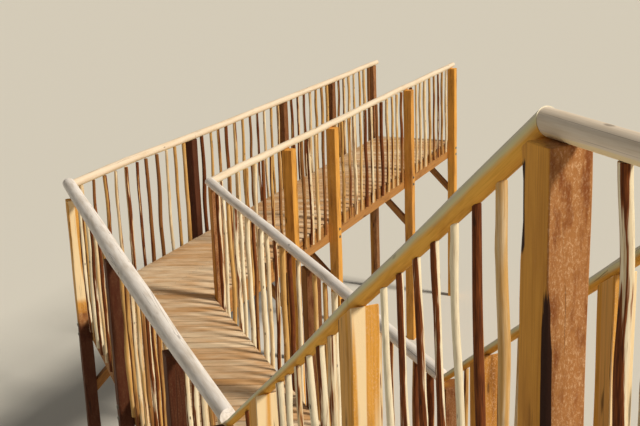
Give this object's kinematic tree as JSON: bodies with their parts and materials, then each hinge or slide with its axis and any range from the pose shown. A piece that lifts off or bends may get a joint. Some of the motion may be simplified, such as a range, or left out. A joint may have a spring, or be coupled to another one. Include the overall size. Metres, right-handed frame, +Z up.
{
  "type": "raised timber walkway",
  "caption": "Raised timber walkway of a tree house: a landing, a straight stair and a walk with a bend, with peeled log handrails and crooked pole balusters.",
  "frame": {"origin": "centre of the foot of the left post at the stair's foot, on the ground", "axes": "+Y along the lower walk, away from the stair; +X to the right of someone walking that way; +Z up"},
  "size_m": [5.8018, 14.4417, 5.0799],
  "materials": {
    "sawn_post": "rough sawn softwood, oiled orange brown, dark where damp",
    "peeled_log": "peeled log, weathered pale on top and warm orange below",
    "peeled_pole": "thin crooked pole, half peeled, with dark bark patches",
    "deck_board": "plain sawn boards, tan, dusty and scuffed",
    "sawn_beam": "rough sawn timber, red brown"
  },
  "bodies": {
    "root": {"posts_landing": "sawn_post", "posts_stair_left": "sawn_post", "posts_stair_right": "sawn_post", "posts_walk_left": "sawn_post", "posts_walk_right": "sawn_post", "posts_branch_outer": "sawn_post", "posts_branch_inner": "sawn_post", "handrail_landing_left": "peeled_log", "handrail_landing_right": "peeled_log", "handrail_stair_left_upper": "peeled_log", "handrail_stair_left_lower": "peeled_log", "handrail_stair_right_upper": "peeled_log", "handrail_stair_right_lower": "peeled_log", "handrail_walk_left": "peeled_log", "handrail_walk_right": "peeled_log", "handrail_branch_outer_near": "peeled_log", "handrail_branch_outer_far": "peeled_log", "handrail_branch_inner_near": "peeled_log", "handrail_branch_inner_far": "peeled_log", "balusters_landing_left": "peeled_pole", "balusters_landing_right": "peeled_pole", "balusters_stair_left": "peeled_pole", "balusters_stair_right": "peeled_pole", "balusters_walk_left": "peeled_pole", "balusters_walk_right": "peeled_pole", "balusters_branch_outer": "peeled_pole", "balusters_branch_inner": "peeled_pole", "deck_landing": "deck_board", "deck_walk": "deck_board", "deck_branch": "deck_board", "beams_landing": "sawn_beam", "beams_walk": "sawn_beam", "beams_branch": "sawn_beam", "joists_landing": "sawn_beam", "joists_walk": "sawn_beam", "joists_branch": "sawn_beam", "stringer_left": "sawn_beam", "stringer_right": "sawn_beam", "stair_treads": "deck_board", "braces_walk": "sawn_beam", "braces_branch": "sawn_beam"}
  },
  "joints": []
}
